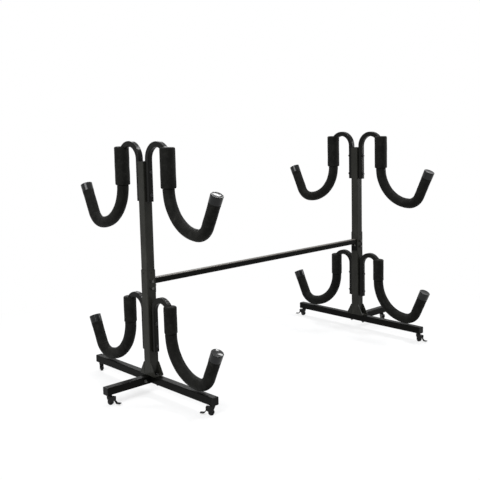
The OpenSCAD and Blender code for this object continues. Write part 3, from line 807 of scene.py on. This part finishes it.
bar_ends = (END_PLATE_T - POST_FACE, POST_FACE - END_PLATE_T)
crossbar = Shape().grid([bar_ring(x, BAR_SHOWN / 2, BAR_TOP - BAR_SHOWN, BAR_TOP) for x in bar_ends])
for _, side in SIDES:
    crossbar.grid([bar_ring(side * x, END_PLATE_W / 2, END_PLATE_TOP - END_PLATE_H, END_PLATE_TOP)
                   for x in (POST_FACE - END_PLATE_T, POST_FACE)])
# The crossbar wears the coating with painted shade on its sides and a painted highlight on its top.
made = crossbar.make("detailed_crossbar", LIT_AND_SHADED_BAR_COAT, "frame", "powder_coat", sharp=20)
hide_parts("crossbar")


# ---------- Weld beads ----------
FOOT_BEAD, PLATE_BEAD, GUSSET_BEAD, NUT_BEAD = 0.0019, 0.0016, 0.0014, 0.0012
BEAD_CORNER, BEAD_GAP, BEAD_STEP = 0.004, 0.004, 0.0007
RIPPLE_PITCH, BEAD_TAPER = 0.0026, 0.003
# Where the beads of the gussets end: away from the upright's axis and above the foot plate
GUSSET_BEAD_OUT, GUSSET_BEAD_UP = 0.057, 0.055


def bead(points, closed, size, seed):
    """A rippled fillet bead along a line of points, each with its outward direction."""
    n = 10
    length = 0.0
    dense = []
    path = points + ([points[0]] if closed else [])
    for (p, o), (q, w) in zip(path, path[1:]):
        p, q, o, w = Vector(p), Vector(q), Vector(o), Vector(w)
        steps = max(1, round((q - p).length / BEAD_STEP))
        for k in range(steps):
            f = k / steps
            dense.append((p.lerp(q, f), o.lerp(w, f).normalized(), length + (q - p).length * f))
        length += (q - p).length
    if not closed:
        dense.append((Vector(path[-1][0]), Vector(path[-1][1]).normalized(), length))
    rings = []
    for k, (p, o, s) in enumerate(dense):
        a = dense[k - 1][0] if (closed or k) else p
        b = dense[(k + 1) % len(dense)][0] if (closed or k < len(dense) - 1) else p
        t = (b - a).normalized()
        u = t.cross(o).normalized()
        ripple = 1 + 0.12 * abs(math.sin(math.pi * s / RIPPLE_PITCH))
        ripple += 0.1 * noise.noise(Vector((s * 160, seed, 0.5)))
        taper = 1.0 if closed else min(1.0, 0.35 + min(s, length - s) / BEAD_TAPER)
        r = size * ripple * taper
        rings.append([tuple(p + o * r * math.cos(2 * math.pi * i / n) + u * r * math.sin(2 * math.pi * i / n))
                      for i in range(n)])
    return Shape().grid(rings, close_loop=closed)


def square_loop(half, place):
    """Points round a rounded square at the foot of a tube, with the bead's outward direction."""
    out = []
    flat = half - BEAD_CORNER
    for qx, qy, a0 in ((1, 1, 0), (-1, 1, 90), (-1, -1, 180), (1, -1, 270)):
        for k in range(7):
            a = math.radians(a0 + 15 * k)
            c, s = math.cos(a), math.sin(a)
            p = Vector((qx * flat + BEAD_CORNER * c, qy * flat + BEAD_CORNER * s, 0))
            out.append((place @ p, (place.to_3x3() @ Vector((c, s, 1))).normalized()))
    return out


def round_loop(radius, place):
    """Points round a circle on a face, with the bead's outward direction."""
    out = []
    for i in range(24):
        a = 2 * math.pi * i / 24
        c, s = math.cos(a), math.sin(a)
        out.append((place @ Vector((radius * c, radius * s, 0)), place.to_3x3() @ Vector((c, s, 1))))
    return out


welds = Shape()
for k, (_, side) in enumerate(SIDES):
    foot = Matrix.Translation((side * SPAN_X, 0, FOOT_TOP))
    welds.join(bead(square_loop(POST_SIDE["lower"] / 2, foot), True, FOOT_BEAD, k))
    plate = facing((side * (POST_FACE - END_PLATE_T), 0, BAR_TOP - BAR_SHOWN / 2), (-side, 0, 0))
    welds.join(bead(square_loop(BAR_SHOWN / 2, plate), True, PLATE_BEAD, k + 5))
    for _, end in ENDS:
        y = end * POST_SIDE["lower"] / 2
        for gx in (-1, 1):
            x = side * SPAN_X + gx * (POST_SIDE["lower"] / 2 - GUSSET_T)
            out, away = (-gx, 0, 1), (-gx, end, 0)
            line = [((x, y + end * BEAD_GAP, FOOT_TOP), out), ((x, end * GUSSET_BEAD_OUT, FOOT_TOP), out)]
            welds.join(bead(line, False, GUSSET_BEAD, k + gx))
            line = [((x, y, FOOT_TOP + BEAD_GAP), away), ((x, y, FOOT_TOP + GUSSET_BEAD_UP), away)]
            welds.join(bead(line, False, GUSSET_BEAD, k + gx + 9))
    for n in range(2):
        welds.join(bead(round_loop(HEX_AF / 2 * 1.03, clamp_place(side, n)), True, NUT_BEAD, n + 20))
welds.make("weld_beads", MATERIALS["powder_coat"], "frame", "powder_coat", sharp=60)


# ---------- Finishes of the frame's own nodes ----------
for part in frame["record"]["subparts"]:
    node = NODES[part["node"]]
    node.data.materials.clear()
    finish = MATERIALS[part["material_slot"]]
    # The base tubes and outriggers get the copy of the coating that is darkened as painted shade.
    if part["node"].endswith(("base_tube", "outrigger")):
        finish = SHADED_BASE_COAT
    elif part["node"].endswith("_arm"):
        finish = ARM_COAT
    elif part["node"] == "crossbar":
        finish = LIT_AND_SHADED_BAR_COAT
    node.data.materials.append(finish)


# ---------- Floor, light and camera ----------
FLOOR_HALF, FLOOR_TONE = 9, 0.45
FLOOR_SHADE, SHADE_FULL, SHADE_NONE = 0.3, 0.9, 2.1
WORLD_LIGHT = 0.32


def seen_rays(tree):
    """One for the rays that show the white backdrop: from the camera, and off or through the object."""
    path = tree.nodes.new("ShaderNodeLightPath")
    total = path.outputs["Is Camera Ray"]
    for name in ("Is Glossy Ray", "Is Transmission Ray"):
        most = tree.nodes.new("ShaderNodeMath")
        most.operation = "MAXIMUM"
        tree.links.new(total, most.inputs[0])
        tree.links.new(path.outputs[name], most.inputs[1])
        total = most.outputs[0]
    return total


def floor_material():
    """White floor that keeps a faint shadow near the rack and fades into the backdrop."""
    m = bpy.data.materials.new("floor")
    m.use_nodes = True
    tree = m.node_tree
    tree.nodes.clear()

    def node(kind, **props):
        made = tree.nodes.new(kind)
        for key, value in props.items():
            setattr(made, key, value)
        return made

    matte = node("ShaderNodeBsdfDiffuse")
    matte.inputs["Color"].default_value = (FLOOR_TONE, FLOOR_TONE, FLOOR_TONE, 1)
    white = node("ShaderNodeEmission")
    white.inputs["Strength"].default_value = 1.0
    shadow = node("ShaderNodeBsdfDiffuse")
    shadow.inputs["Color"].default_value = (0.95, 0.95, 0.95, 1)
    away = node("ShaderNodeVectorMath", operation="LENGTH")
    tree.links.new(node("ShaderNodeNewGeometry").outputs["Position"], away.inputs[0])
    near = node("ShaderNodeMapRange", interpolation_type="SMOOTHSTEP")
    tree.links.new(away.outputs["Value"], near.inputs["Value"])
    limits = {"From Min": SHADE_FULL, "From Max": SHADE_NONE, "To Min": FLOOR_SHADE, "To Max": 0.0}
    for key, value in limits.items():
        near.inputs[key].default_value = value
    shown = node("ShaderNodeMixShader")
    tree.links.new(near.outputs["Result"], shown.inputs["Fac"])
    tree.links.new(white.outputs["Emission"], shown.inputs[1])
    tree.links.new(shadow.outputs["BSDF"], shown.inputs[2])
    whole = node("ShaderNodeMixShader")
    tree.links.new(seen_rays(tree), whole.inputs["Fac"])
    tree.links.new(matte.outputs["BSDF"], whole.inputs[1])
    tree.links.new(shown.outputs["Shader"], whole.inputs[2])
    tree.links.new(whole.outputs["Shader"], node("ShaderNodeOutputMaterial").inputs["Surface"])
    return m


corners = [(x * FLOOR_HALF, y * FLOOR_HALF, 0) for x, y in ((-1, -1), (1, -1), (1, 1), (-1, 1))]
mesh = bpy.data.meshes.new("floor")
mesh.from_pydata(corners, [], [(0, 1, 2, 3)])
mesh.materials.append(floor_material())
floor = bpy.data.objects.new("floor", mesh)
SCENE.collection.objects.link(floor)

world = bpy.data.worlds.new("studio")
SCENE.world = world
world.use_nodes = True
tree = world.node_tree
tree.nodes.clear()
seen = tree.nodes.new("ShaderNodeBackground")
seen.inputs["Color"].default_value = (1, 1, 1, 1)
seen.inputs["Strength"].default_value = 1.0
lit = tree.nodes.new("ShaderNodeBackground")
lit.inputs["Color"].default_value = (0.92, 0.95, 1.0, 1)
lit.inputs["Strength"].default_value = WORLD_LIGHT
swap = tree.nodes.new("ShaderNodeMixShader")
out = tree.nodes.new("ShaderNodeOutputWorld")
tree.links.new(seen_rays(tree), swap.inputs["Fac"])
tree.links.new(lit.outputs["Background"], swap.inputs[1])
tree.links.new(seen.outputs["Background"], swap.inputs[2])
tree.links.new(swap.outputs["Shader"], out.inputs["Surface"])


def area_light(name, place, target, size, power, along=None):
    """Rectangular softbox at a place, facing a target; along is the direction of its first side."""
    lamp = bpy.data.lights.new(name, "AREA")
    lamp.shape = "RECTANGLE"
    lamp.size, lamp.size_y = size
    lamp.energy = power
    made = bpy.data.objects.new(name, lamp)
    SCENE.collection.objects.link(made)
    back = (Vector(place) - Vector(target)).normalized()
    side = Vector(along) if along else Vector((0, 0, 1)).cross(back)
    side = (side - back * side.dot(back)).normalized()
    made.matrix_world = Matrix((side, back.cross(side), back)).transposed().to_4x4()
    made.location = place


area_light("key", (-3.7, -0.9, 2.9), (0, 0, 0.5), (2.2, 2.2), 135)
area_light("top", (-0.2, 0.5, 4.2), (0, 0, 0.4), (3.0, 3.0), 48)
area_light("rim", (1.6, 3.6, 2.8), (0, 0, 0.6), (2.4, 1.4), 55)
area_light("side", (3.4, -1.7, 1.5), (-0.4, -0.3, 0.8), (0.6, 1.6), 34)
area_light("tip_glint", (1.75, 0.95, 3.65), (-0.4, -0.4, 0.8), (0.55, 0.55), 16)
area_light("arch_glint", (1.6, -0.75, 4.2), (-0.8, 0, 0.9), (1.3, 0.35), 66, (0, 1, 0))

# The focal length is in pixels of the photograph's frame, the angles are in degrees
PHOTO_WIDTH, SENSOR_WIDTH = 480, 36
FOCAL, YAW, PITCH, ROLL = 777.664, 42.674, 6.747, -1.33
PLACE = (-2.98118, -3.0325, 1.322284)
SHIFT_Y = -0.06
yaw, pitch, roll = (math.radians(v) for v in (YAW, PITCH, ROLL))
ahead = Vector((math.sin(yaw) * math.cos(pitch), math.cos(yaw) * math.cos(pitch), -math.sin(pitch)))
level_right = Vector((math.cos(yaw), -math.sin(yaw), 0))
level_up = level_right.cross(ahead)
right = math.cos(roll) * level_right + math.sin(roll) * level_up
up = -math.sin(roll) * level_right + math.cos(roll) * level_up
lens = bpy.data.cameras.new("camera")
lens.sensor_width = SENSOR_WIDTH
lens.lens = FOCAL / PHOTO_WIDTH * SENSOR_WIDTH
lens.shift_y = SHIFT_Y
camera = bpy.data.objects.new("camera", lens)
SCENE.collection.objects.link(camera)
camera.matrix_world = Matrix((
    (right.x, up.x, -ahead.x, PLACE[0]),
    (right.y, up.y, -ahead.y, PLACE[1]),
    (right.z, up.z, -ahead.z, PLACE[2]),
    (0, 0, 0, 1),
))
SCENE.camera = camera
SCENE.view_settings.view_transform = "Standard"
